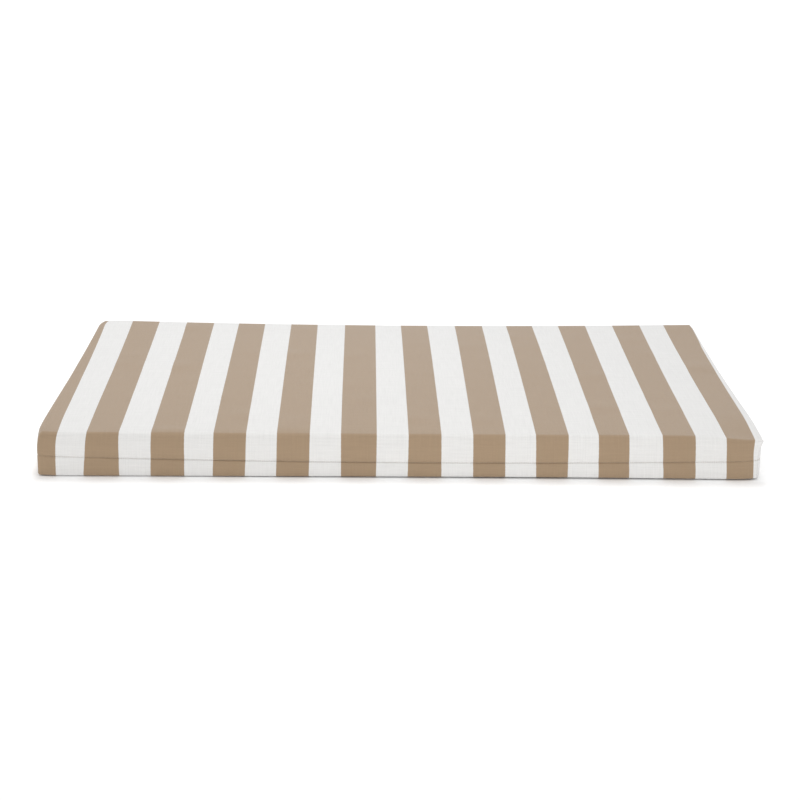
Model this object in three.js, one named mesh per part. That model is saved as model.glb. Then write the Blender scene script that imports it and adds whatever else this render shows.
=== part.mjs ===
// An outdoor mattress cushion: one slim foam-filled pad in a close canvas cover, lying flat.
// The cover is a top panel and a bottom panel. Each is boxed at its four corners, and they
// are sewn together along one seam that runs round the side, at or a little below its middle.
// Millimetres, +Z up, +X along the length, -Y at the front. The origin is the middle of
// the underside.

import * as THREE from 'three';
import { mergeVertices } from 'three/addons/utils/BufferGeometryUtils.js';

// Sizes of the filled cushion
const LENGTH = 1200;
const DEPTH = 800;
const THICKNESS = 72;
const SEAM_HEIGHT = 33;

// Soft edges: round the top, round the underside, and at the four upright corners
const RIM_RADIUS = 5;
const FOOT_RADIUS = 3;
const UPRIGHT_RADIUS = 6;

// What the filling and the sewing do to the cover
const CROWN = 5;
const UPPER_PUFF = 1.6;
const LOWER_PUFF = 1.0;
const SEAM_DEPTH = 1.8;
const SEAM_HALF_WIDTH = 1.6;
const CORNER_SEAM_DEPTH = 0.9;

// How closely the sewing holds the border round a corner: the puff and the groove fade with
// this power of the nearness to it, the groove by this share, and the upright crease is as
// narrow as its own power makes it
const HOLD_POWER = 6;
const CORNER_FILL = 0.6;
const CREASE_POWER = 8;

// How far a corner's droop, pull and tuck reach along the cloth, how late up the border the
// ear comes out and how much it lifts, and how far in from the edge the underside comes down
// to the floor
const DROOP_SPREAD = 75;
const PULL_SPREAD = 20;
const TUCK_SPREAD = 16;
const EAR_RISE = 3;
const EAR_LIFT = 0.35;
const LIFT_REACH = 36;

// The corners as the cover sits on the foam: the height of the top and of the seam there, and
// how far the top droops, the whole corner is drawn in, the ear stands out at the top and
// spreads along the cloth, and the foot is tucked in and stands off the floor. Where the top
// is rounded off and has no ear, that value is below zero.
const CORNER_COLUMNS = [
  'side', 'end', 'top', 'seam', 'droop', 'pull', 'ear', 'spread', 'tuck', 'lift',
];
const CORNERS = [
  [-1, -1, 77, 36.3, 0, 4, -6.2, 60, 0, 1.6],
  [1, -1, 78, 34.7, 8.5, 6.5, 9, 11, 1, 2],
  [1, 1, 69.5, 33.5, 0, 4, 3, 9, 4, 1.8],
  [-1, 1, 70.5, 33.5, 0, 8, 1, 9, 3, 1.8],
].map((row) => Object.fromEntries(CORNER_COLUMNS.map((column, at) => [column, row[at]])));

// Each side at its middle: how far it is drawn in, and how far top and seam dip there
const SIDES = {
  front: { drawn: 4.7, topDip: 2.1, seamDip: 8.5 },
  back: { drawn: 13, topDip: 3.7, seamDip: 4.5 },
  left: { drawn: 2, topDip: 3.5, seamDip: 3 },
  right: { drawn: 2, topDip: 4, seamDip: 3.5 },
};

// Rows of the mesh across one soft edge, between the soft edges of a panel, and across the
// seam's groove in half widths from its middle
const EDGE_ROWS = 3;
const LENGTH_ROWS = 26;
const DEPTH_ROWS = 18;
const GROOVE_ROWS = [-2.2, -0.8, 0, 0.8, 2.2];
const CLOTH_COLOUR = 0xb6a58f;

const halfLength = LENGTH / 2;
const halfDepth = DEPTH / 2;

// Places across a soft edge that turn by equal angles once the edge is rounded, from 0 to 1
function edgePlaces() {
  const places = [];
  for (let row = 1; row <= EDGE_ROWS; row += 1) {
    places.push(Math.tan((row / EDGE_ROWS) * (Math.PI / 4)));
  }
  return places;
}

// Rows along a side of a given half size: a soft edge, even rows, and a soft edge
function panelRows(half, radius, evenRows) {
  const inner = half - radius;
  const edge = edgePlaces().map((place) => inner + radius * place);
  const even = [];
  for (let row = 0; row <= evenRows; row += 1) {
    even.push(-inner + (2 * inner * row) / evenRows);
  }
  return [...edge.map((place) => -place).reverse(), ...even, ...edge];
}

// Rows up the side: the foot, the lower border, the seam's groove, the upper border, the rim
function sideRows() {
  const foot = edgePlaces().map((place) => FOOT_RADIUS * (1 - place));
  const rim = edgePlaces().map((place) => THICKNESS - RIM_RADIUS * (1 - place));
  const footTop = FOOT_RADIUS;
  const rimFoot = THICKNESS - RIM_RADIUS;
  const groove = GROOVE_ROWS.map((step) => SEAM_HEIGHT + step * SEAM_HALF_WIDTH);
  const lowerMiddle = (footTop + groove[0]) / 2;
  const upperMiddle = (rimFoot + groove.at(-1)) / 2;
  return [...foot.reverse(), footTop, lowerMiddle, ...groove, upperMiddle, rimFoot, ...rim];
}

// A value that is stated at the four corners, blended over the cushion
function betweenCorners(key, u, v) {
  return CORNERS.reduce(
    (sum, corner) => sum + (corner[key] * (1 + corner.side * u) * (1 + corner.end * v)) / 4,
    0,
  );
}

// A dip that is stated at the middle of each side, and fades out towards the corners
function betweenSides(key, u, v) {
  const { front, back, left, right } = SIDES;
  const alongLength = (front[key] * (1 - v) + back[key] * (1 + v)) / 2;
  const alongDepth = (left[key] * (1 - u) + right[key] * (1 + u)) / 2;
  return alongLength * (1 - u * u) * v * v + alongDepth * (1 - v * v) * u * u;
}

function topHeight(u, v) {
  const crown = CROWN * (1 - u * u) * (1 - v * v);
  const droop = CORNERS.reduce((sum, corner) => {
    const away = Math.hypot((u - corner.side) * halfLength, (v - corner.end) * halfDepth);
    return sum + corner.droop * Math.exp(-((away / DROOP_SPREAD) ** 2));
  }, 0);
  return betweenCorners('top', u, v) - betweenSides('topDip', u, v) - droop + crown;
}

function seamHeight(u, v) {
  return betweenCorners('seam', u, v) - betweenSides('seamDip', u, v);
}

// A point of the box with its edges rounded, and the way that it faces
function roundEdges(point) {
  const low = point.z < SEAM_HEIGHT;
  const vertical = low ? FOOT_RADIUS : RIM_RADIUS;
  const radii = new THREE.Vector3(UPRIGHT_RADIUS, UPRIGHT_RADIUS, vertical);
  const inner = new THREE.Vector3(
    THREE.MathUtils.clamp(point.x, UPRIGHT_RADIUS - halfLength, halfLength - UPRIGHT_RADIUS),
    THREE.MathUtils.clamp(point.y, UPRIGHT_RADIUS - halfDepth, halfDepth - UPRIGHT_RADIUS),
    THREE.MathUtils.clamp(point.z, FOOT_RADIUS, THICKNESS - RIM_RADIUS),
  );
  const facing = point.clone().sub(inner).divide(radii).normalize();
  return { place: inner.add(facing.clone().multiply(radii)), facing };
}

// Moves a rounded point outwards over the filling, but at the corners, which the sewing
// holds, and inwards at the seams
function fillBorder(place, facing, height) {
  const upper = height > SEAM_HEIGHT;
  const cornerness = Math.abs((place.x * place.y) / (halfLength * halfDepth));
  const cornerHold = Math.min(1, cornerness ** HOLD_POWER);
  const share = upper
    ? (height - SEAM_HEIGHT) / (THICKNESS - SEAM_HEIGHT)
    : height / SEAM_HEIGHT;
  const fullPuff = (upper ? UPPER_PUFF : LOWER_PUFF) * Math.sin(Math.PI * share);
  const puff = fullPuff * (1 - cornerHold);
  const fromSeam = (height - SEAM_HEIGHT) / SEAM_HALF_WIDTH;
  const seam = SEAM_DEPTH * Math.exp(-fromSeam * fromSeam) * (1 - CORNER_FILL * cornerHold);
  const diagonal = 1 - Math.abs(Math.abs(facing.x) - Math.abs(facing.y));
  const upright = CORNER_SEAM_DEPTH * diagonal ** CREASE_POWER * (1 - Math.abs(facing.z));
  const level = new THREE.Vector3(facing.x, facing.y, 0);
  place.addScaledVector(level, puff - seam - upright);
}

// Lets the sides pull in between the corners
function drawSidesIn(place) {
  const u = place.x / halfLength;
  const v = place.y / halfDepth;
  const lengthwise = u < 0 ? SIDES.left.drawn : SIDES.right.drawn;
  const crosswise = v < 0 ? SIDES.front.drawn : SIDES.back.drawn;
  place.x -= Math.sign(u) * u * u * lengthwise * (1 - v * v);
  place.y -= Math.sign(v) * v * v * crosswise * (1 - u * u);
}

// How far the round filling holds the foot of the border, and the cloth just inside it, up
function footLift(place, height, u, v) {
  const inside = Math.min(halfLength - Math.abs(place.x), halfDepth - Math.abs(place.y));
  const near = THREE.MathUtils.clamp(1 - inside / LIFT_REACH, 0, 1);
  const low = Math.max(0, 1 - height / SEAM_HEIGHT);
  return betweenCorners('lift', u, v) * near * near * low;
}

// Draws each boxed corner in, brings it out to its ear at the top, and tucks in its foot
function shapeCorners(place, height) {
  const upperShare = Math.max(0, (height - SEAM_HEIGHT) / (THICKNESS - SEAM_HEIGHT)) ** EAR_RISE;
  const lowerShare = 1 - height / THICKNESS;
  CORNERS.forEach((corner) => {
    const away = Math.hypot(place.x - corner.side * halfLength, place.y - corner.end * halfDepth);
    const pull = corner.pull * Math.exp(-((away / PULL_SPREAD) ** 2));
    const ear = corner.ear * upperShare * Math.exp(-away / corner.spread);
    const tuck = corner.tuck * lowerShare * Math.exp(-away / TUCK_SPREAD);
    place.x += corner.side * (ear - tuck - pull);
    place.y += corner.end * (ear - tuck - pull);
    place.z += EAR_LIFT * ear;
  });
}

// Takes a point of the plain box to its place on the filled cushion
function fillPoint(point) {
  const { place, facing } = roundEdges(point);
  const height = place.z;
  const u = THREE.MathUtils.clamp(place.x / halfLength, -1, 1);
  const v = THREE.MathUtils.clamp(place.y / halfDepth, -1, 1);
  const seam = seamHeight(u, v);
  const aboveSeam = (height - SEAM_HEIGHT) / (THICKNESS - SEAM_HEIGHT);
  fillBorder(place, facing, height);
  drawSidesIn(place);
  place.z = aboveSeam > 0
    ? seam + aboveSeam * (topHeight(u, v) - seam)
    : (seam * height) / SEAM_HEIGHT;
  place.z += footLift(place, height, u, v);
  shapeCorners(place, height);
  return place;
}

function cushionGeometry() {
  const across = panelRows(halfLength, UPRIGHT_RADIUS, LENGTH_ROWS);
  const along = panelRows(halfDepth, UPRIGHT_RADIUS, DEPTH_ROWS);
  const up = sideRows();
  const counts = [across, along, up].map((rows) => rows.length - 1);
  const box = new THREE.BoxGeometry(...counts, ...counts);
  box.deleteAttribute('normal');
  box.deleteAttribute('uv');
  const geometry = mergeVertices(box);
  const points = geometry.getAttribute('position');
  for (let index = 0; index < points.count; index += 1) {
    const rows = [points.getX(index), points.getY(index), points.getZ(index)];
    const [i, j, k] = rows.map((value, axis) => Math.round(value + counts[axis] / 2));
    const place = fillPoint(new THREE.Vector3(across[i], along[j], up[k]));
    points.setXYZ(index, place.x, place.y, place.z);
  }
  geometry.computeBoundingBox();
  const middle = geometry.boundingBox.getCenter(new THREE.Vector3());
  geometry.translate(-middle.x, -middle.y, -geometry.boundingBox.min.z);
  geometry.computeVertexNormals();
  return geometry;
}

function cushion() {
  const cloth = new THREE.MeshStandardMaterial({
    color: CLOTH_COLOUR,
    roughness: 0.9,
    metalness: 0,
  });
  const mesh = new THREE.Mesh(cushionGeometry(), cloth);
  mesh.name = 'mattress_cushion';
  return mesh;
}

const model = new THREE.Group();
model.add(cushion());

export default model;
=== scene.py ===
import math

import bpy
import numpy as np
from mathutils import Matrix, Vector


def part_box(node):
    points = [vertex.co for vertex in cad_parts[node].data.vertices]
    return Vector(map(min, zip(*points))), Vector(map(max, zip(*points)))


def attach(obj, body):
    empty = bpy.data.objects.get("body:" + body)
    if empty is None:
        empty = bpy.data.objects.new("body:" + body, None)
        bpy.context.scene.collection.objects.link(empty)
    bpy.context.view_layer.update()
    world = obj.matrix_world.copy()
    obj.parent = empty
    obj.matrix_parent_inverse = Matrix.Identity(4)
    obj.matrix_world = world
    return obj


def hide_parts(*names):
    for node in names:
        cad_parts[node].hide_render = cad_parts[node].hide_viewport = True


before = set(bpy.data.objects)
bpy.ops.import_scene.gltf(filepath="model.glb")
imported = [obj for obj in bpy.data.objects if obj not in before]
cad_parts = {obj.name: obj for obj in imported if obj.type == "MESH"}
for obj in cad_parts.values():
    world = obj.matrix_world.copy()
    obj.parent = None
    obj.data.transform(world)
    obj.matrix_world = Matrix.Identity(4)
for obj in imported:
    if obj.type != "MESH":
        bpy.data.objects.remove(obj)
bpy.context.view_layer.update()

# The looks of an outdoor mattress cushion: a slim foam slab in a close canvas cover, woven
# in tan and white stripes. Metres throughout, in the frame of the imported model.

NODE = "mattress_cushion"
MM = 0.001

# Sizes of the filled cushion, as in the part
LENGTH = 1200 * MM
DEPTH = 800 * MM
THICKNESS = 72 * MM
SEAM_HEIGHT = 33 * MM

# Soft edges: round the top, round the underside, and at the four upright corners
RIM_RADIUS = 5 * MM
FOOT_RADIUS = 3 * MM
UPRIGHT_RADIUS = 6 * MM

# What the filling does to the cover, and how closely the sewing holds the borders round a
# corner: the puff and the groove fade with this power of the nearness to it
CROWN = 5 * MM
UPPER_PUFF = 1.6 * MM
LOWER_PUFF = 1.0 * MM
HOLD_POWER = 6

# How far a corner's droop, pull and tuck reach along the cloth, how late up the border the
# ear comes out and how much it lifts, and how far in from the edge the underside comes down
# to the floor
DROOP_SPREAD = 75 * MM
PULL_SPREAD = 20 * MM
TUCK_SPREAD = 16 * MM
EAR_RISE = 3
EAR_LIFT = 0.35
LIFT_REACH = 36 * MM

# Each corner, in millimetres: the height of the top and of the seam there, how far the top
# droops, how far the whole corner is drawn in, how far its ear stands out at the top and how
# far along the cloth it spreads, how far the foot is tucked in and lifted, and where round the
# corner its upright seam lies, in degrees from the front or back. Where the top is rounded off
# and has no ear, that value is below zero.
CORNER_COLUMNS = (
    "side", "end", "top", "seam", "droop", "pull", "ear", "spread", "tuck", "lift", "turn"
)
CORNERS = tuple(
    dict(zip(CORNER_COLUMNS, (*row[:2], *(size * MM for size in row[2:10]), row[10])))
    for row in (
        (-1, -1, 77.0, 36.3, 0.0, 4.0, -6.2, 60.0, 0.0, 1.6, 90),
        (1, -1, 78.0, 34.7, 8.5, 6.5, 9.0, 11.0, 1.0, 2.0, 45),
        (1, 1, 69.5, 33.5, 0.0, 4.0, 3.0, 9.0, 4.0, 1.8, 45),
        (-1, 1, 70.5, 33.5, 0.0, 8.0, 1.0, 9.0, 3.0, 1.8, 90),
    )
)

# Each side at its middle: how far it is drawn in, and how far top and seam dip there
SIDES = {
    "front": {"drawn": 4.7 * MM, "topDip": 2.1 * MM, "seamDip": 8.5 * MM},
    "back": {"drawn": 13 * MM, "topDip": 3.7 * MM, "seamDip": 4.5 * MM},
    "left": {"drawn": 2 * MM, "topDip": 3.5 * MM, "seamDip": 3 * MM},
    "right": {"drawn": 2 * MM, "topDip": 4 * MM, "seamDip": 3.5 * MM},
}

# Right of the middle of the front, the foot stands off the floor a little more. The place and
# the reach of this gap are shares of half the length.
FRONT_GAP = 2.1 * MM
FRONT_GAP_MIDDLE = 0.4
FRONT_GAP_SPREAD = 0.55

# The sewing: the side seam's groove, which is partly filled at the corners, and the upright
# corner seams, whose width is in degrees round the corner
SEAM_DEPTH = 1.7 * MM
SEAM_HALF_WIDTH = 0.8 * MM
CORNER_FILL = 0.6
CORNER_SEAM_DEPTH = 1.0 * MM
CORNER_SEAM_TURN = 6

# How strongly the painted shade in each kind of seam shows, where the cloth's colour is darkened
# in the crease
SIDE_SEAM_PAINTED_SHADE = 0.1
CORNER_SEAM_PAINTED_SHADE = 0.6

# Ripples where the stitches gather the cloth: highest a few millimetres from the seam
RIPPLE_HEIGHT = 0.22 * MM
RIPPLE_REACH = 7 * MM
RIPPLE_FADE = 1.4
RIPPLES = {"seed": 11, "count": 8, "shortest": 0.022, "longest": 0.06}

# The woven stripes: even in the cloth, and laid a little unevenly over the foam. A row for
# each tan stripe gives its left and right edge in millimetres from the middle: at the foot of
# the front side, along the front edge of the top, and along its back edge.
STRIPE = 53.5 * MM
TAN_STRIPES = (
    {"foot": (-620, -565), "front": (-620, -564), "back": (-640, -587)},
    {"foot": (-520, -461), "front": (-515, -461), "back": (-534, -480)},
    {"foot": (-410, -354), "front": (-408, -353), "back": (-424, -369)},
    {"foot": (-308, -255), "front": (-306, -252), "back": (-319, -266)},
    {"foot": (-204, -150), "front": (-202, -148), "back": (-213, -160)},
    {"foot": (-97, -39), "front": (-97, -38), "back": (-105, -43)},
    {"foot": (13, 69), "front": (14, 68), "back": (8, 61)},
    {"foot": (121, 174), "front": (120, 173), "back": (117, 172)},
    {"foot": (225, 277), "front": (223, 277), "back": (221, 273)},
    {"foot": (328, 378), "front": (326, 376), "back": (326, 381)},
    {"foot": (435, 488), "front": (431, 485), "back": (436, 492)},
    {"foot": (539, 590), "front": (536, 584), "back": (540, 597)},
)

# How far apart the two panels' cloth is laid, so that their weaves differ
LOWER_PANEL_APART = 3.0

# Rows of the mesh: across a soft edge, between soft edges, up the two borders, and across the
# seam's groove in half widths from its middle
EDGE_ROWS = 3
LENGTH_ROWS = 96
DEPTH_ROWS = 64
LOWER_ROWS = 4
UPPER_ROWS = 5
GROOVE_ROWS = (-3.2, -1.4, -0.55, 0.0, 0.55, 1.4, 3.2)

HALF_LENGTH = LENGTH / 2
HALF_DEPTH = DEPTH / 2

# A corner's middle, in degrees from either side
CORNER_MIDDLE = 45

# The cloth's way down a side, from the edge of the top round to the foot
SIDE_DOWN = THICKNESS - (RIM_RADIUS + FOOT_RADIUS) * (1 - math.pi / 4)


def waves(u, v, seed, count, shortest, longest):
    """A smooth, uneven field of about unit height: seeded waves of mixed length, in metres."""
    rng = np.random.default_rng(seed)
    total = np.zeros_like(u)
    for _ in range(count):
        length = shortest * (longest / shortest) ** rng.random()
        turn = rng.uniform(0, 2 * math.pi)
        start = rng.uniform(0, 2 * math.pi)
        along = u * math.cos(turn) + v * math.sin(turn)
        total += np.sin(along * 2 * math.pi / length + start)
    return total / math.sqrt(count)


# The form of the filled cover

def edge_places():
    """Places across a soft edge that turn by equal angles once it is rounded, from 0 to 1."""
    return [math.tan(math.pi / 4 * row / EDGE_ROWS) for row in range(1, EDGE_ROWS + 1)]


def panel_rows(half, even_rows):
    """Rows along a side: a soft edge, even rows, and a soft edge."""
    inner = half - UPRIGHT_RADIUS
    edge = [inner + UPRIGHT_RADIUS * place for place in edge_places()]
    even = np.linspace(-inner, inner, even_rows + 1)
    return np.array([-e for e in reversed(edge)] + list(even) + edge)


def side_rows():
    """Rows up the side: the foot, the lower border, the seam, the upper border, the rim."""
    foot = [FOOT_RADIUS * (1 - place) for place in reversed(edge_places())]
    rim = [THICKNESS - RIM_RADIUS * (1 - place) for place in edge_places()]
    groove = [SEAM_HEIGHT + step * SEAM_HALF_WIDTH for step in GROOVE_ROWS]
    lower = np.linspace(FOOT_RADIUS, groove[0], LOWER_ROWS, endpoint=False)
    upper = np.linspace(groove[-1], THICKNESS - RIM_RADIUS, UPPER_ROWS + 1)[1:]
    return np.array(foot + list(lower) + groove + list(upper) + rim)


def between_corners(key, u, v):
    """A value stated at the four corners, blended over the cushion."""
    return sum(c[key] * (1 + c["side"] * u) * (1 + c["end"] * v) / 4 for c in CORNERS)


def between_sides(key, u, v):
    """A dip stated at the middle of each side, which fades out towards the corners."""
    front, back, left, right = (SIDES[name][key] for name in ("front", "back", "left", "right"))
    along_length = (front * (1 - v) + back * (1 + v)) / 2
    along_depth = (left * (1 - u) + right * (1 + u)) / 2
    return along_length * (1 - u * u) * v * v + along_depth * (1 - v * v) * u * u


def top_height(u, v):
    """The top's height: crowned in the middle, and drooping a little at a corner."""
    height = between_corners("top", u, v) - between_sides("topDip", u, v)
    for c in CORNERS:
        away = np.hypot((u - c["side"]) * HALF_LENGTH, (v - c["end"]) * HALF_DEPTH)
        height = height - c["droop"] * np.exp(-(away / DROOP_SPREAD) ** 2)
    return height + CROWN * (1 - u * u) * (1 - v * v)


def seam_height(u, v):
    return between_corners("seam", u, v) - between_sides("seamDip", u, v)


def round_edges(box):
    """The plain box's points with its edges rounded, and the way that each faces."""
    low = box[:, 2] < SEAM_HEIGHT
    radii = np.full_like(box, UPRIGHT_RADIUS)
    radii[:, 2] = np.where(low, FOOT_RADIUS, RIM_RADIUS)
    reach = (HALF_LENGTH - UPRIGHT_RADIUS, HALF_DEPTH - UPRIGHT_RADIUS)
    inner = np.stack([
        np.clip(box[:, 0], -reach[0], reach[0]),
        np.clip(box[:, 1], -reach[1], reach[1]),
        np.clip(box[:, 2], FOOT_RADIUS, THICKNESS - RIM_RADIUS),
    ], axis=1)
    facing = (box - inner) / radii
    facing /= np.linalg.norm(facing, axis=1, keepdims=True)
    return inner + facing * radii, facing


def fill_cover(box):
    """Takes points of the plain box to the filled cushion, without the channels of its seams."""
    place, facing = round_edges(box)
    height = place[:, 2].copy()
    u = np.clip(place[:, 0] / HALF_LENGTH, -1, 1)
    v = np.clip(place[:, 1] / HALF_DEPTH, -1, 1)
    upper = height > SEAM_HEIGHT
    above = (height - SEAM_HEIGHT) / (THICKNESS - SEAM_HEIGHT)
    share = np.where(upper, above, height / SEAM_HEIGHT)
    puff = np.where(upper, UPPER_PUFF, LOWER_PUFF) * np.sin(np.pi * share)
    puff *= 1 - np.minimum(1, np.abs(u * v) ** HOLD_POWER)
    place[:, :2] += facing[:, :2] * puff[:, None]

    # The sides pull in between the corners
    a, b = place[:, 0] / HALF_LENGTH, place[:, 1] / HALF_DEPTH
    along = np.where(a < 0, SIDES["left"]["drawn"], SIDES["right"]["drawn"])
    across = np.where(b < 0, SIDES["front"]["drawn"], SIDES["back"]["drawn"])
    place[:, 0] -= np.sign(a) * a * a * along * (1 - b * b)
    place[:, 1] -= np.sign(b) * b * b * across * (1 - a * a)

    # Heights of the seam and of the top
    seam = seam_height(u, v)
    place[:, 2] = np.where(
        above > 0, seam + above * (top_height(u, v) - seam), seam * height / SEAM_HEIGHT
    )

    # The filling is round below, so that the foot of the border stands off the floor a little
    inside = np.minimum(HALF_LENGTH - np.abs(place[:, 0]), HALF_DEPTH - np.abs(place[:, 1]))
    gap = FRONT_GAP * np.exp(-((u - FRONT_GAP_MIDDLE) / FRONT_GAP_SPREAD) ** 2)
    lift = between_corners("lift", u, v) + np.where(v < 0, gap * v * v, 0)
    lift *= np.clip(1 - inside / LIFT_REACH, 0, 1) ** 2
    place[:, 2] += lift * np.clip(1 - height / SEAM_HEIGHT, 0, 1)

    # Each boxed corner is drawn in, comes out to its ear at the top and is tucked in at the foot
    for corner in CORNERS:
        away = np.hypot(
            place[:, 0] - corner["side"] * HALF_LENGTH, place[:, 1] - corner["end"] * HALF_DEPTH
        )
        pull = corner["pull"] * np.exp(-(away / PULL_SPREAD) ** 2)
        ear = corner["ear"] * np.maximum(0, above) ** EAR_RISE * np.exp(-away / corner["spread"])
        tuck = corner["tuck"] * (1 - height / THICKNESS) * np.exp(-away / TUCK_SPREAD)
        place[:, 0] += corner["side"] * (ear - tuck - pull)
        place[:, 1] += corner["end"] * (ear - tuck - pull)
        place[:, 2] += EAR_LIFT * ear
    return place, facing


# The cloth that lies on each face of the box

def unrolled(rows, half, radius):
    """Each row's place in the flat cloth: an edge row counts its way along the round."""
    inner = half - radius
    over = np.maximum(0, np.abs(rows) - inner) / radius
    return np.sign(rows) * (np.minimum(np.abs(rows), inner) + radius * np.arctan(over))


def cloth_place(u, v, lower):
    """The place in the woven cloth of a point of the laid cloth, across the stripes."""
    foot, front, back = (
        np.array([edge for row in TAN_STRIPES for edge in row[name]]) * MM
        for name in ("foot", "front", "back")
    )
    on_top = np.clip(v / DEPTH + 0.5, 0, 1)[:, None]
    down = np.clip((-v - HALF_DEPTH) / SIDE_DOWN, 0, 1)[:, None]
    on_side = np.where(lower[:, None] > 0, (1 - down) * (1 - on_top), down)
    laid = front + (back - front) * on_top + (foot - front) * on_side
    woven = np.arange(len(front)) * STRIPE
    first, last = laid[:, 0], laid[:, -1]
    nearest = np.clip(np.sum(laid < u[:, None], axis=1) - 1, 0, len(front) - 2)
    rows = np.arange(len(u))
    low, high = laid[rows, nearest], laid[rows, nearest + 1]
    inside = woven[nearest] + (u - low) / (high - low) * STRIPE
    past_last = np.where(u > last, woven[-1] + u - last, inside)
    return np.where(u < first, woven[0] + u - first, past_last)


def cushion_grid():
    """The box's points by their rows, and its faces with the cloth's place at each corner."""
    across = panel_rows(HALF_LENGTH, LENGTH_ROWS)
    along = panel_rows(HALF_DEPTH, DEPTH_ROWS)
    up = side_rows()
    flat_x = unrolled(across, HALF_LENGTH, UPRIGHT_RADIUS)
    flat_y = unrolled(along, HALF_DEPTH, UPRIGHT_RADIUS)
    last = (len(across) - 1, len(along) - 1, len(up) - 1)
    seam_row = int(np.argmin(np.abs(up - SEAM_HEIGHT)))

    # Lengths down the side from the rim, and up it from the foot, round their soft edges
    rim = np.maximum(0, up - (THICKNESS - RIM_RADIUS)) / RIM_RADIUS
    foot = np.maximum(0, FOOT_RADIUS - up) / FOOT_RADIUS
    flat_z = np.clip(up, FOOT_RADIUS, THICKNESS - RIM_RADIUS)
    flat_z = flat_z + RIM_RADIUS * np.arctan(rim) - FOOT_RADIUS * np.arctan(foot)

    index, points, rows_of = {}, [], []

    def point(i, j, k):
        key = (i, j, k)
        if key not in index:
            index[key] = len(points)
            points.append((across[i], along[j], up[k]))
            rows_of.append(key)
        return index[key]

    faces, cloth, lower = [], [], []

    # Columns of the left or right side that the front or back cloth still covers at a corner
    turned = {
        (corner["side"], corner["end"]): round(
            (corner["turn"] - CORNER_MIDDLE) / (CORNER_MIDDLE / EDGE_ROWS)
        )
        for corner in CORNERS
    }

    def quad(corners, places, is_lower):
        faces.append([point(*corner) for corner in corners])
        cloth.extend(places)
        lower.extend([is_lower] * 4)

    for i in range(last[0]):
        for j in range(last[1]):
            ring = ((i, j), (i + 1, j), (i + 1, j + 1), (i, j + 1))
            quad([(a, b, last[2]) for a, b in ring], [(flat_x[a], flat_y[b]) for a, b in ring], 0)
            ring = ring[::-1]
            quad([(a, b, 0) for a, b in ring], [(flat_x[a], flat_y[b]) for a, b in ring], 1)

    for k in range(last[2]):
        is_lower = int(k < seam_row)
        edge = 0 if is_lower else last[2]
        down = np.abs(flat_z - flat_z[edge])
        for i in range(last[0]):
            for j, sign, step in ((0, -1, 1), (last[1], 1, -1)):
                ring = ((i, k), (i + 1, k), (i + 1, k + 1), (i, k + 1))[::step]
                quad(
                    [(a, j, c) for a, c in ring],
                    [(flat_x[a], flat_y[j] + sign * down[c]) for a, c in ring],
                    is_lower,
                )
        for j in range(last[1]):
            for i, sign, step in ((0, -1, -1), (last[0], 1, 1)):
                ring = ((j, k), (j + 1, k), (j + 1, k + 1), (j, k + 1))[::step]
                end = -1 if j < last[1] / 2 else 1
                edge_row = 0 if end < 0 else last[1]
                over = j if end < 0 else last[1] - 1 - j
                places = [(flat_x[i] + sign * down[c], flat_y[b]) for b, c in ring]
                if over < turned[sign, end]:
                    places = [
                        (
                            flat_x[i] + sign * abs(flat_y[b] - flat_y[edge_row]),
                            flat_y[edge_row] + end * down[c],
                        )
                        for b, c in ring
                    ]
                quad([(i, b, c) for b, c in ring], places, is_lower)
    return {
        "box": np.array(points),
        "rows": np.array(rows_of),
        "faces": faces,
        "cloth": np.array(cloth),
        "lower": np.array(lower),
        "seam_row": seam_row,
        "last": last,
    }


def mesh_from(name, places, faces):
    mesh = bpy.data.meshes.new(name)
    mesh.from_pydata([tuple(p) for p in places], [], faces)
    mesh.update()
    return mesh


def link(name, mesh):
    piece = bpy.data.objects.new(name, mesh)
    bpy.context.scene.collection.objects.link(piece)
    return piece


# Cloth simulation of the cover over its foam

SETTLE_FRAMES = 20
MOST_MOVE = 5 * MM
NO_MOVE = 1e-9

# The cover as a cloth: stiffest along its yarns, slow to bend, and blown up a little. The foam
# carries its weight, so gravity is left out.
COVER_CLOTH = {
    "quality": 6,
    "mass": 0.25,
    "tension_stiffness": 25,
    "compression_stiffness": 12,
    "shear_stiffness": 8,
    "bending_stiffness": 0.8,
    "use_pressure": True,
    "uniform_pressure_force": 4,
    "pin_stiffness": 1,
}

# How firmly the cover is held, from 0 to 1: softly by the foam behind the borders, and more
# by the foam under the top, which is uneven from place to place
BORDER_HOLD = 0.12
TOP_HOLD = 0.5
TOP_UNEVEN = 0.2
TOP_HOLD_RANGE = (0.15, 0.9)
TOP_WAVES = {"seed": 3, "count": 9, "shortest": 0.09, "longest": 0.4}
HOLD_STEPS = 100


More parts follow.
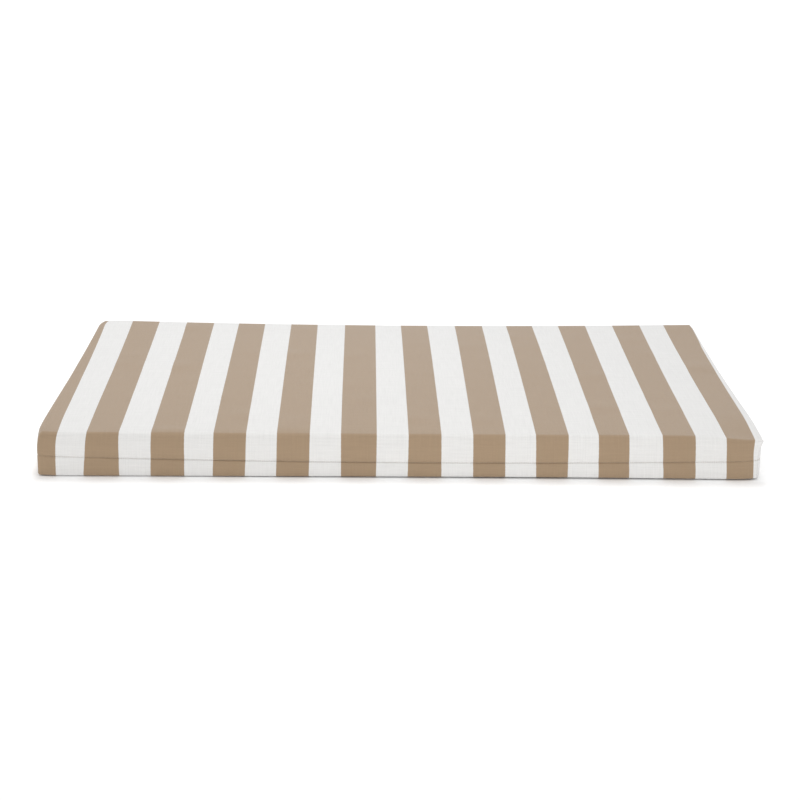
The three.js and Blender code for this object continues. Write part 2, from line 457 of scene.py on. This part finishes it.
def settle_cover(places, faces, grid):
    """Blows the cover up gently against its seams and the foam, and returns the points.

    The seams, the corner seams and the underside are held. The foam backs the top and the
    borders, so they are held softly and puff up a little between the seams.
    """
    cover = link("cover_settling", mesh_from("cover_settling", places, faces))
    rows, last = grid["rows"], grid["last"]
    at_end = (rows[:, 0] == 0) | (rows[:, 0] == last[0])
    at_side = (rows[:, 1] == 0) | (rows[:, 1] == last[1])
    held = (rows[:, 2] == grid["seam_row"]) | (rows[:, 2] == 0) | (at_end & at_side)
    on_top = rows[:, 2] == last[2]
    firm = TOP_HOLD + TOP_UNEVEN * waves(places[:, 0], places[:, 1], **TOP_WAVES)
    backed = np.where(on_top, np.clip(firm, *TOP_HOLD_RANGE), BORDER_HOLD)
    hold = np.where(held, 1.0, backed)

    group = cover.vertex_groups.new(name="hold")
    for step in range(1, HOLD_STEPS + 1):
        members = np.nonzero(np.round(hold * HOLD_STEPS) == step)[0]
        if len(members):
            group.add([int(m) for m in members], step / HOLD_STEPS, "REPLACE")

    cloth = cover.modifiers.new("settle", "CLOTH")
    for name, value in COVER_CLOTH.items():
        setattr(cloth.settings, name, value)
    cloth.settings.vertex_group_mass = "hold"
    cloth.settings.effector_weights.gravity = 0
    cloth.point_cache.frame_start = 1
    cloth.point_cache.frame_end = SETTLE_FRAMES

    scene = bpy.context.scene
    for step in range(1, SETTLE_FRAMES + 1):
        scene.frame_set(step)
    evaluated = cover.evaluated_get(bpy.context.evaluated_depsgraph_get())
    settled = np.empty(len(places) * 3)
    evaluated.data.vertices.foreach_get("co", settled)
    settled = settled.reshape(-1, 3)
    scene.frame_set(1)
    bpy.data.objects.remove(cover)

    move = settled - places
    size = np.linalg.norm(move, axis=1, keepdims=True)
    return places + move * np.minimum(1, MOST_MOVE / np.maximum(size, NO_MOVE))


def sew(places, facing, height):
    """Draws the side seam and the corner seams in, and raises the ripples beside them.

    It returns the points, and at each how strongly painted shade darkens the cloth where it turns
    into a seam.
    """
    side_seam = np.exp(-((height - SEAM_HEIGHT) / SEAM_HALF_WIDTH) ** 2)
    x, y = places[:, 0], places[:, 1]
    at_corner = np.minimum(1, np.abs(x * y / (HALF_LENGTH * HALF_DEPTH)) ** HOLD_POWER)
    groove = SEAM_DEPTH * side_seam * (1 - CORNER_FILL * at_corner)
    round_corner = np.degrees(np.arctan2(np.abs(facing[:, 0]), np.abs(facing[:, 1])))
    turn = np.zeros(len(places))
    for corner in CORNERS:
        here = (x * corner["side"] > 0) & (y * corner["end"] > 0)
        turn[here] = corner["turn"]
    corner_seam = np.exp(-((round_corner - turn) / CORNER_SEAM_TURN) ** 2)
    corner_seam *= 1 - np.abs(facing[:, 2])
    ripple = waves(x, y, **RIPPLES) * RIPPLE_HEIGHT
    beside = np.abs(height - SEAM_HEIGHT) / RIPPLE_REACH
    ripple *= beside * np.exp(1 - beside * RIPPLE_FADE)
    out = ripple - groove - CORNER_SEAM_DEPTH * corner_seam
    level = facing.copy()
    level[:, 2] = 0
    # Painted shade: the share of darkening at the side seam and the corner seams, standing in for
    # the shade in their creases
    painted_seam_shade = np.maximum(SIDE_SEAM_PAINTED_SHADE * side_seam, CORNER_SEAM_PAINTED_SHADE * corner_seam)
    return places + level * out[:, None], painted_seam_shade


def cushion():
    grid = cushion_grid()
    places, facing = fill_cover(grid["box"])
    height = round_edges(grid["box"])[0][:, 2]
    low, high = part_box(NODE)
    shift = [
        (low[axis] + high[axis]) / 2 - (places[:, axis].min() + places[:, axis].max()) / 2
        for axis in (0, 1)
    ]
    places = settle_cover(places, grid["faces"], grid)
    places, painted_shade_share = sew(places, facing, height)
    places[:, 0] += shift[0]
    places[:, 1] += shift[1]
    places[:, 2] = np.maximum(0, places[:, 2])

    mesh = mesh_from("cushion", places, grid["faces"])
    # The painted shade of the seams, kept on the mesh for the canvas to read
    painted_seam_shade = mesh.attributes.new("painted_seam_shade", "FLOAT", "POINT")
    painted_seam_shade.data.foreach_set("value", painted_shade_share)
    cloth = mesh.uv_layers.new(name="cloth")
    woven = grid["cloth"].copy()
    woven[:, 0] = cloth_place(grid["cloth"][:, 0], grid["cloth"][:, 1], grid["lower"])
    woven[:, 1] += grid["lower"] * LOWER_PANEL_APART
    cloth.data.foreach_set("uv", woven.astype(np.float32).ravel())
    mesh.polygons.foreach_set("use_smooth", [True] * len(mesh.polygons))
    piece = link("cushion", mesh)
    surface = piece.modifiers.new("smooth", "SUBSURF")
    surface.levels = surface.render_levels = 1
    surface.uv_smooth = "NONE"
    smoothed = bpy.data.meshes.new_from_object(
        piece.evaluated_get(bpy.context.evaluated_depsgraph_get())
    )
    piece.modifiers.clear()
    piece.data = smoothed
    smoothed.name = "cushion"
    return piece, seam_run(grid, places, facing)


# The seam's stitches: the thread that holds the two panels together shows as small bars across
# the groove where the seam is drawn open. Each bar leans a little, and has few faces.
STITCH_SPACING = 3.0 * MM
STITCH_LENGTH = 1.7 * MM
THREAD_WIDTH = 0.45 * MM
STITCH_OUT = 0.55 * MM
STITCH_SLANT = math.radians(9)
STITCH_SEED = 7
BAR_SIDES = 6
BAR_RINGS = 4


def seam_run(grid, places, facing):
    """The places round the side seam, in order, a little out from the bottom of its groove."""
    across, along, _ = grid["last"]
    ring = [(i, 0) for i in range(across)] + [(across, j) for j in range(along)]
    ring += [(i, along) for i in range(across, 0, -1)] + [(0, j) for j in range(along, 0, -1)]
    at = {tuple(row[:2]): n for n, row in enumerate(grid["rows"]) if row[2] == grid["seam_row"]}
    order = [at[step] for step in ring]
    return places[order] + facing[order] * (STITCH_OUT, STITCH_OUT, 0)


def stitch_tree():
    """Geometry nodes that lay a short bar of thread across a run at even spacing."""
    tree = bpy.data.node_groups.new("seam_stitches", "GeometryNodeTree")
    sockets = {}
    for name, kind, value in (
        ("Run", "NodeSocketGeometry", None),
        ("Spacing", "NodeSocketFloat", STITCH_SPACING),
        ("Length", "NodeSocketFloat", STITCH_LENGTH),
        ("Width", "NodeSocketFloat", THREAD_WIDTH),
        ("Slant", "NodeSocketFloat", STITCH_SLANT),
        ("Seed", "NodeSocketInt", STITCH_SEED),
        ("Thread", "NodeSocketMaterial", None),
    ):
        socket = tree.interface.new_socket(name, in_out="INPUT", socket_type=kind)
        sockets[name] = (socket.identifier, value)
    tree.interface.new_socket("Stitches", in_out="OUTPUT", socket_type="NodeSocketGeometry")
    given = add(tree, "NodeGroupInput").outputs

    run = add(tree, "GeometryNodeMeshToCurve", inputs={"Mesh": given["Run"]})
    steps = add(tree, "GeometryNodeResampleCurve", {"mode": "LENGTH"}, {
        "Curve": run, "Length": given["Spacing"],
    })
    way = add(tree, "GeometryNodeInputTangent")
    turn = add(tree, "FunctionNodeAlignEulerToVector", {"axis": "X", "pivot_axis": "Z"}, {
        "Vector": way,
    })
    slack = add(tree, "ShaderNodeMath", {"operation": "MULTIPLY"}, {0: given["Slant"], 1: 0.5})
    most = add(tree, "ShaderNodeMath", inputs={0: given["Slant"], 1: slack})
    slant = add(tree, "FunctionNodeRandomValue", {"data_type": "FLOAT"}, {
        "Min": slack, "Max": most, "Seed": given["Seed"],
    })
    lean = add(tree, "ShaderNodeCombineXYZ", inputs={"Y": slant.outputs["Value"]})
    turned = add(tree, "FunctionNodeRotateEuler", {"rotation_type": "EULER", "space": "LOCAL"}, {
        "Rotation": turn, "Rotate By": lean,
    })
    half_width = add(tree, "ShaderNodeMath", {"operation": "MULTIPLY"}, {
        0: given["Width"], 1: 0.5,
    })
    half_length = add(tree, "ShaderNodeMath", {"operation": "MULTIPLY"}, {
        0: given["Length"], 1: 0.5,
    })
    size = add(tree, "ShaderNodeCombineXYZ", inputs={
        "X": half_width, "Y": half_width, "Z": half_length,
    })
    bar = add(tree, "GeometryNodeMeshUVSphere", inputs={
        "Segments": BAR_SIDES, "Rings": BAR_RINGS, "Radius": 1.0,
    })
    laid = add(tree, "GeometryNodeInstanceOnPoints", inputs={
        "Points": steps, "Instance": bar, "Rotation": turned, "Scale": size,
    })
    real = add(tree, "GeometryNodeRealizeInstances", inputs={"Geometry": laid})
    smooth = add(tree, "GeometryNodeSetShadeSmooth", inputs={"Geometry": real})
    threaded = add(tree, "GeometryNodeSetMaterial", inputs={
        "Geometry": smooth, "Material": given["Thread"],
    })
    add(tree, "NodeGroupOutput", inputs={"Stitches": threaded})
    return tree, sockets


def seam_stitches(run):
    """The thread of the side seam as one plain mesh."""
    mesh = bpy.data.meshes.new("seam_stitches")
    edges = [(n, (n + 1) % len(run)) for n in range(len(run))]
    mesh.from_pydata([tuple(place) for place in run], edges, [])
    piece = link("seam_stitches", mesh)
    tree, sockets = stitch_tree()
    stitching = piece.modifiers.new("stitching", "NODES")
    stitching.node_group = tree
    for identifier, value in sockets.values():
        if value is not None:
            stitching[identifier] = value
    stitching[sockets["Thread"][0]] = bonded_thread()
    made = bpy.data.meshes.new_from_object(
        piece.evaluated_get(bpy.context.evaluated_depsgraph_get())
    )
    piece.modifiers.clear()
    piece.data = made
    made.name = "seam_stitches"
    return piece


# Materials

def linear(colour):
    """A hex sRGB colour as linear red, green, blue and alpha."""
    parts = [int(colour[at:at + 2], 16) / 255 for at in (1, 3, 5)]
    return [p / 12.92 if p <= 0.04045 else ((p + 0.055) / 1.055) ** 2.4 for p in parts] + [1.0]


def add(tree, kind, settings=None, inputs=None):
    """Adds one node with its settings and its inputs: another node, a socket or a value."""
    made = tree.nodes.new(kind)
    for name, value in (settings or {}).items():
        setattr(made, name, value)
    for socket, value in (inputs or {}).items():
        if isinstance(value, bpy.types.Node):
            value = next(output for output in value.outputs if output.enabled)
        if isinstance(value, bpy.types.NodeSocket):
            tree.links.new(value, made.inputs[socket])
        else:
            made.inputs[socket].default_value = value
    return made


def new_material(name):
    material = bpy.data.materials.new(name)
    material.use_nodes = True
    material.node_tree.nodes.clear()
    return material, material.node_tree


# Polyester canvas, yarn-dyed and plain woven. It is matt, with a faint bloom of loose fibre at
# a low angle. Its stripes are crisp to about a yarn, and thick and thin yarns show as streaks.
TAN = "#a18a70"
WHITE = "#e3e2e0"
BLOOM = "#f9fbff"
# Painted shade in the seams: the dark colour that the cloth is mixed towards there, and how far
PAINTED_SHADOW_COLOUR = "#7d7468"
PAINTED_SHADOW_STRENGTH = 0.35
CANVAS_FINISH = {
    "Roughness": 0.82,
    "Specular IOR Level": 0.35,
    "Sheen Weight": 0.36,
    "Sheen Roughness": 0.45,
}
RELIEF_SHARE = 0.6

# The yarns are really 0.6 mm apart. They are drawn twice as coarse, so that they show.
YARN = 1.3 * MM
YARN_RELIEF = 0.12 * MM

# Slubs are thick places in a yarn, about two yarns wide as drawn and a finger's length long.
# The warp's and the weft's start apart in the cloth.
SLUB_WIDTH = 2.4 * MM
SLUB_LENGTH = 60 * MM
SLUB_SHADE = 0.16
SLUB_RELIEF = 0.35 * MM
SLUB_UNEVEN = {"Detail": 3.0, "Roughness": 0.6}
WARP_START = 0.0
WEFT_START = 5.3

# Fibres of uneven dye within the yarns, and slow changes of tone from one dye lot
FIBRE = 1.3 * MM
FIBRE_SHADE = 0.10
FIBRE_UNEVEN = 0.7
TONE_LENGTH = 0.35
TONE_SHADE = 0.03

# How soft a stripe's edge is, and how far and how often it wanders
EDGE_SOFT = 0.5 * MM
EDGE_WANDER = 0.35 * MM
WANDER_LENGTH = 4 * MM
WANDER_WIDTH = 0.2
WANDER_START = (3.1, 5.3, 0)


def yarn_dyed_canvas():
    material, tree = new_material("yarn_dyed_polyester_canvas")
    cloth = add(tree, "ShaderNodeUVMap", {"uv_map": "cloth"})
    parts = add(tree, "ShaderNodeSeparateXYZ", inputs={"Vector": cloth})
    across, along = parts.outputs["X"], parts.outputs["Y"]

    # The stripes: how far each point is from the middle of the nearest tan stripe
    edges = add(tree, "ShaderNodeMapping", inputs={
        "Vector": cloth,
        "Location": WANDER_START,
        "Scale": (1 / WANDER_WIDTH, 1 / WANDER_LENGTH, 1),
    })
    drift = add(tree, "ShaderNodeTexNoise", inputs={"Vector": edges, "Scale": 1.0})
    wander = add(tree, "ShaderNodeMapRange", inputs={
        "Value": drift, "To Min": -EDGE_WANDER, "To Max": EDGE_WANDER,
    })
    woven = add(tree, "ShaderNodeMath", inputs={0: across, 1: wander})
    centred = add(tree, "ShaderNodeMath", {"operation": "SUBTRACT"}, {0: woven, 1: STRIPE / 2})
    away = add(tree, "ShaderNodeMath", {"operation": "PINGPONG"}, {0: centred, 1: STRIPE})
    tan = add(tree, "ShaderNodeMapRange", {"interpolation_type": "SMOOTHSTEP"}, {
        "Value": away,
        "From Min": (STRIPE - EDGE_SOFT) / 2,
        "From Max": (STRIPE + EDGE_SOFT) / 2,
        "To Min": 1.0,
        "To Max": 0.0,
    })
    dyed = add(tree, "ShaderNodeMix", {"data_type": "RGBA"}, {
        "Factor": tan, "A": linear(WHITE), "B": linear(TAN),
    })

    # Slubs along the warp and along the weft: two noises about a half each, so their sum is 1
    streaks = []
    for width, length, start in (
        (SLUB_WIDTH, SLUB_LENGTH, WARP_START),
        (SLUB_LENGTH, SLUB_WIDTH, WEFT_START),
    ):
        drawn = add(tree, "ShaderNodeMapping", inputs={
            "Vector": cloth, "Location": (start, start, 0), "Scale": (1 / width, 1 / length, 1),
        })
        streaks.append(add(tree, "ShaderNodeTexNoise", inputs={
            "Vector": drawn, "Scale": 1.0, **SLUB_UNEVEN,
        }))
    slubs = add(tree, "ShaderNodeMath", inputs={0: streaks[0], 1: streaks[1]})

    # The tone of the yarn: 1 with each of these about its middle
    slub_tone = add(tree, "ShaderNodeMath", {"operation": "MULTIPLY_ADD"}, {
        0: slubs, 1: SLUB_SHADE, 2: 1 - SLUB_SHADE,
    })
    fibres = add(tree, "ShaderNodeTexNoise", inputs={
        "Vector": cloth, "Scale": 1 / FIBRE, "Roughness": FIBRE_UNEVEN,
    })
    fibre_tone = add(tree, "ShaderNodeMath", {"operation": "MULTIPLY_ADD"}, {
        0: fibres, 1: FIBRE_SHADE, 2: 1 - FIBRE_SHADE / 2,
    })
    lots = add(tree, "ShaderNodeTexNoise", inputs={"Vector": cloth, "Scale": 1 / TONE_LENGTH})
    lot_tone = add(tree, "ShaderNodeMath", {"operation": "MULTIPLY_ADD"}, {
        0: lots, 1: TONE_SHADE, 2: 1 - TONE_SHADE / 2,
    })
    near_tone = add(tree, "ShaderNodeMath", {"operation": "MULTIPLY"}, {
        0: slub_tone, 1: fibre_tone,
    })
    tone = add(tree, "ShaderNodeMath", {"operation": "MULTIPLY"}, {0: near_tone, 1: lot_tone})
    toned = add(tree, "ShaderNodeVectorMath", {"operation": "SCALE"}, {0: dyed, "Scale": tone})

    # Painted shade at the seams: where the cloth turns inwards into a seam, its colour is mixed
    # towards one dark shade, the same on tan and on white
    painted_seam_shade = add(tree, "ShaderNodeAttribute", {"attribute_name": "painted_seam_shade"})
    painted_shade_share = add(tree, "ShaderNodeMath", {"operation": "MULTIPLY"}, {
        0: painted_seam_shade.outputs["Fac"], 1: PAINTED_SHADOW_STRENGTH,
    })
    colour = add(tree, "ShaderNodeMix", {"data_type": "RGBA"}, {
        "Factor": painted_shade_share, "A": toned, "B": linear(PAINTED_SHADOW_COLOUR),
    })

    # The weave: one yarn over, one yarn under, with the slubs raised a little
    over = add(tree, "ShaderNodeMath", {"operation": "MULTIPLY"}, {0: across, 1: math.pi / YARN})
    over = add(tree, "ShaderNodeMath", {"operation": "SINE"}, {0: over})
    under = add(tree, "ShaderNodeMath", {"operation": "MULTIPLY"}, {0: along, 1: math.pi / YARN})
    under = add(tree, "ShaderNodeMath", {"operation": "SINE"}, {0: under})
    weave = add(tree, "ShaderNodeMath", {"operation": "MULTIPLY"}, {0: over, 1: under})
    yarns = add(tree, "ShaderNodeMath", {"operation": "MULTIPLY"}, {0: weave, 1: YARN_RELIEF})
    relief = add(tree, "ShaderNodeMath", {"operation": "MULTIPLY_ADD"}, {
        0: slubs, 1: SLUB_RELIEF, 2: yarns,
    })
    bump = add(tree, "ShaderNodeBump", inputs={
        "Strength": RELIEF_SHARE, "Distance": 1.0, "Height": relief,
    })

    shader = add(tree, "ShaderNodeBsdfPrincipled", inputs={
        "Base Color": colour, "Normal": bump, "Sheen Tint": linear(BLOOM), **CANVAS_FINISH,
    })
    add(tree, "ShaderNodeOutputMaterial", inputs={"Surface": shader})
    return material


# Bonded polyester sewing thread: a smooth, slightly glossy beige, in two twisted plies whose
# turns show as slanting lines across a stitch
THREAD_COLOUR = "#b3a28b"
PLY_LENGTH = 0.5 * MM
PLY_RELIEF = 0.04 * MM
PLY_TONES = {"To Min": 0.85, "To Max": 1.05}
THREAD_FINISH = {"Roughness": 0.5, "Specular IOR Level": 0.5}


def bonded_thread():
    material, tree = new_material("bonded_polyester_thread")
    place = add(tree, "ShaderNodeTexCoord").outputs["Object"]
    plies = add(tree, "ShaderNodeTexWave", {"bands_direction": "DIAGONAL"}, {
        "Vector": place, "Scale": 1 / (PLY_LENGTH * 2 * math.pi),
    })
    tone = add(tree, "ShaderNodeMapRange", inputs={"Value": plies.outputs["Fac"], **PLY_TONES})
    colour = add(tree, "ShaderNodeVectorMath", {"operation": "SCALE"}, {
        0: linear(THREAD_COLOUR)[:3], "Scale": tone,
    })
    relief = add(tree, "ShaderNodeMath", {"operation": "MULTIPLY"}, {
        0: plies.outputs["Fac"], 1: PLY_RELIEF,
    })
    bump = add(tree, "ShaderNodeBump", inputs={
        "Strength": RELIEF_SHARE, "Distance": 1.0, "Height": relief,
    })
    shader = add(tree, "ShaderNodeBsdfPrincipled", inputs={
        "Base Color": colour, "Normal": bump, **THREAD_FINISH,
    })
    add(tree, "ShaderNodeOutputMaterial", inputs={"Surface": shader})
    return material


# White painted studio floor. It gives off a little light of its own, which is painted light: the
# glow keeps it white in the picture but for a thin shadow along the cushion. There is no glow
# under the cushion, a little round it, more beside its ends, and more again far away.
PAINT = "#f4f4f4"
PAINT_FINISH = {"Roughness": 0.9, "Specular IOR Level": 0.0}
UNDER_EDGE = 9 * MM
NEAR_GLOW = 0.16
NEAR_REACH = 4 * MM
END_GLOW = 0.12
END_REACH = 20 * MM
FAR_GLOW = 0.25
FAR_START = 1.0
FAR_END = 3.0


def painted_floor():
    material, tree = new_material("white_paint_with_painted_glow")
    place = add(tree, "ShaderNodeTexCoord").outputs["Object"]
    sizes = add(tree, "ShaderNodeVectorMath", {"operation": "ABSOLUTE"}, {0: place})
    past = add(tree, "ShaderNodeVectorMath", {"operation": "SUBTRACT"}, {
        0: sizes, 1: (HALF_LENGTH - UNDER_EDGE, HALF_DEPTH - UNDER_EDGE, 0),
    })
    outside = add(tree, "ShaderNodeVectorMath", {"operation": "MAXIMUM"}, {0: past, 1: (0, 0, 0)})
    gap = add(tree, "ShaderNodeVectorMath", {"operation": "LENGTH"}, {0: outside})
    near = add(tree, "ShaderNodeMapRange", {"interpolation_type": "SMOOTHSTEP"}, {
        "Value": gap.outputs["Value"], "From Max": NEAR_REACH, "To Max": NEAR_GLOW,
    })
    past_ends = add(tree, "ShaderNodeSeparateXYZ", inputs={"Vector": outside})
    ends = add(tree, "ShaderNodeMapRange", {"interpolation_type": "SMOOTHSTEP"}, {
        "Value": past_ends.outputs["X"], "From Max": END_REACH, "To Max": END_GLOW,
    })
    distance = add(tree, "ShaderNodeVectorMath", {"operation": "LENGTH"}, {0: place})
    far = add(tree, "ShaderNodeMapRange", {"interpolation_type": "SMOOTHSTEP"}, {
        "Value": distance.outputs["Value"],
        "From Min": FAR_START,
        "From Max": FAR_END,
        "To Max": FAR_GLOW,
    })
    # Painted light: the glow near the cushion and beside its ends lifts the cushion's shadow on
    # the floor
    painted_glow_round_cushion = add(tree, "ShaderNodeMath", inputs={0: near, 1: ends})
    glow = add(tree, "ShaderNodeMath", inputs={0: painted_glow_round_cushion, 1: far})
    shader = add(tree, "ShaderNodeBsdfPrincipled", inputs={
        "Base Color": linear(PAINT),
        "Emission Color": (1, 1, 1, 1),
        "Emission Strength": glow,
        **PAINT_FINISH,
    })
    add(tree, "ShaderNodeOutputMaterial", inputs={"Surface": shader})
    return material


# The studio

FLOOR_HALF = 40.0
ROOM_LIGHT = 0.82
HORIZON_LIGHT = 1.0
HORIZON_TOP = 0.06

# The lamps: name, place, size and power. Each faces the middle of the floor.
SOFTBOXES = (
    ("top_softbox", (-0.3, 0.28, 1.9), (0.8, 0.6), 11.4),
    ("front_softbox", (0.2, -1.25, 0.29), (0.4, 0.2), 1.0),
)


def white_room():
    """Even white light all round, a little brighter low down so that no horizon shows."""
    world = bpy.data.worlds.new("soft_white")
    world.use_nodes = True
    tree = world.node_tree
    tree.nodes.clear()
    way = add(tree, "ShaderNodeTexCoord").outputs["Generated"]
    height = add(tree, "ShaderNodeSeparateXYZ", inputs={"Vector": way}).outputs["Z"]
    strength = add(tree, "ShaderNodeMapRange", {"interpolation_type": "SMOOTHSTEP"}, {
        "Value": height, "From Max": HORIZON_TOP, "To Min": HORIZON_LIGHT, "To Max": ROOM_LIGHT,
    })
    light = add(tree, "ShaderNodeBackground", inputs={"Color": (1, 1, 1, 1), "Strength": strength})
    add(tree, "ShaderNodeOutputWorld", inputs={"Surface": light})
    return world


def softbox(name, place, size, power):
    data = bpy.data.lights.new(name, "AREA")
    data.shape = "RECTANGLE"
    data.size, data.size_y = size
    data.energy = power
    lamp = bpy.data.objects.new(name, data)
    lamp.location = place
    lamp.rotation_euler = (-Vector(place)).to_track_quat("-Z", "Y").to_euler()
    bpy.context.scene.collection.objects.link(lamp)


def studio():
    ring = ((-1, -1), (1, -1), (1, 1), (-1, 1))
    corners = [(x * FLOOR_HALF, y * FLOOR_HALF, 0) for x, y in ring]
    floor = link("floor", mesh_from("floor", corners, [[0, 1, 2, 3]]))
    floor.data.materials.append(painted_floor())

    bpy.context.scene.world = white_room()
    bpy.context.scene.view_settings.view_transform = "Standard"
    for lamp in SOFTBOXES:
        softbox(*lamp)


# The camera stands straight in front, with a long lens
CAMERA_PLACE = (-0.0347, -3.4491, 1.0178)
CAMERA_TURN = {"yaw": 0.637, "pitch": 16.127, "roll": 0.567}
LENS_PIXELS = 1950.8
FRAME_PIXELS = 800
SENSOR_MM = 36.0

# How far it sees, in metres: past the edge of the floor
FARTHEST = 200


def camera():
    data = bpy.data.cameras.new("camera")
    data.sensor_width = SENSOR_MM
    data.lens = LENS_PIXELS / FRAME_PIXELS * SENSOR_MM
    data.clip_end = FARTHEST
    eye = bpy.data.objects.new("camera", data)
    yaw, pitch, roll = (math.radians(CAMERA_TURN[key]) for key in ("yaw", "pitch", "roll"))
    turn = (
        Matrix.Rotation(-yaw, 4, "Z")
        @ Matrix.Rotation(math.pi / 2 - pitch, 4, "X")
        @ Matrix.Rotation(roll, 4, "Z")
    )
    eye.matrix_world = Matrix.Translation(CAMERA_PLACE) @ turn
    bpy.context.scene.collection.objects.link(eye)
    bpy.context.scene.camera = eye


pad, run = cushion()
pad.data.materials.clear()
pad.data.materials.append(yarn_dyed_canvas())
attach(pad, "root")
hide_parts(NODE)

stitches = seam_stitches(run)
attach(stitches, "root")

studio()
camera()
